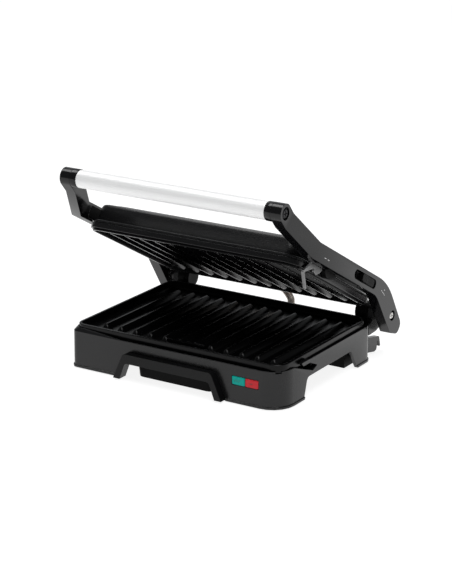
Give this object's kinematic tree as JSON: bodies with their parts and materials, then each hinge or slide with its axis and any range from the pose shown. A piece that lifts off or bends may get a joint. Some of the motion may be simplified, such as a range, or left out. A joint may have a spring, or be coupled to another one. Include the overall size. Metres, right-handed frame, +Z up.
{
  "type": "panini press",
  "caption": "Contact grill: ribbed lower plate, floating ribbed lid on two cranked arms joined by a bar handle, sliding lid latch and pull-out drip tray.",
  "frame": {"origin": "centre of the bounding box in plan, on the surface the feet stand on", "axes": "+Z up, -Y towards the handle and the tray, +X to the right as seen from the front"},
  "size_m": [0.2902, 0.2307, 0.2146],
  "materials": {
    "housing": "dark grey moulded plastic, satin gloss",
    "arm": "black moulded plastic, glossy",
    "inner_plastic": "black heat-proof plastic with a fine texture",
    "non_stick": "die-cast, with a black non-stick coating",
    "handle": "brushed and clear coated",
    "steel": "bright",
    "black_steel": "blackened",
    "sheet": "pressed sheet, bare",
    "rubber": "matt",
    "green_lens": "translucent, tinted",
    "red_lens": "translucent, tinted",
    "ceramic": "unglazed ceramic",
    "sleeve": "braided wire over insulation"
  },
  "bodies": {
    "base": {"lower_housing": "housing", "tray_bezel": "housing", "bottom_cover": "inner_plastic", "lower_plate": "non_stick", "lower_heating_element": "steel", "lower_heat_shield": "sheet", "lower_thermostat": "ceramic", "thermal_fuse": "steel", "terminal_block": "ceramic", "lamp_holder": "inner_plastic", "green_lamp_lens": "green_lens", "red_lamp_lens": "red_lens", "cord_gland": "rubber", "wire_sleeve": "sleeve", "foot_1": "rubber", "foot_2": "rubber", "foot_3": "rubber", "foot_4": "rubber", "cover_screw_1": "steel", "cover_screw_2": "steel", "cover_screw_3": "steel", "cover_screw_4": "steel", "hinge_ear_left": "housing", "hinge_ear_right": "housing", "hinge_block_left": "inner_plastic", "hinge_block_right": "inner_plastic", "cord_hook_left": "housing", "cord_hook_right": "housing", "tray_rail_left": "inner_plastic", "tray_rail_right": "inner_plastic"},
    "arms": {"arm_shell_left": "arm", "arm_shell_right": "arm", "arm_cover_left": "inner_plastic", "arm_cover_right": "inner_plastic", "handle_collar_left": "arm", "handle_collar_right": "arm", "handle_screw_left": "black_steel", "handle_screw_right": "black_steel", "hinge_pin_left": "steel", "hinge_pin_right": "steel", "hinge_screw_left": "steel", "hinge_screw_right": "steel", "hinge_washer_left": "steel", "hinge_washer_right": "steel", "pivot_pin_left": "steel", "pivot_pin_right": "steel", "pivot_bracket_left": "inner_plastic", "pivot_bracket_right": "inner_plastic", "handle_tube": "handle"},
    "lid": {"lid_housing": "housing", "lid_cover": "housing", "upper_plate": "non_stick", "upper_heating_element": "steel", "upper_heat_shield": "sheet", "lid_grommet": "rubber"},
    "lock_slider": {"lock_slider": "inner_plastic"},
    "latch_hook": {"latch_hook": "sheet"},
    "drip_tray": {"drip_tray": "inner_plastic"}
  },
  "joints": [
    {"name": "arm_hinge", "type": "hinge", "parent": "base", "child": "arms", "pos_m": [0, 0.09284, 0.0493], "axis": [-1, 0, 0], "range_deg": [-27.6, 148], "deforming": ["wire_sleeve"]},
    {"name": "lid_pivot", "type": "hinge", "parent": "arms", "child": "lid", "pos_m": [0, -0.0213, 0.13212], "axis": [1, 0, 0], "range_deg": [0, 6], "deforming": ["wire_sleeve"]},
    {"name": "lock_slide", "type": "slide", "parent": "arms", "child": "lock_slider", "axis": [0, -0.8763, 0.4818], "range_m": [0, 0.012]},
    {"name": "latch_swing", "type": "hinge", "parent": "arms", "child": "latch_hook", "pos_m": [0.129, -0.04154, 0.14097], "axis": [1, 0, 0], "range_deg": [0, 20]},
    {"name": "tray_slide", "type": "slide", "parent": "base", "child": "drip_tray", "axis": [0, -1, 0], "range_m": [0, 0.1]}
  ],
  "couplings": [
    {"joint": "latch_swing", "follows": "lock_slide", "rad_per_m": 29}
  ]
}
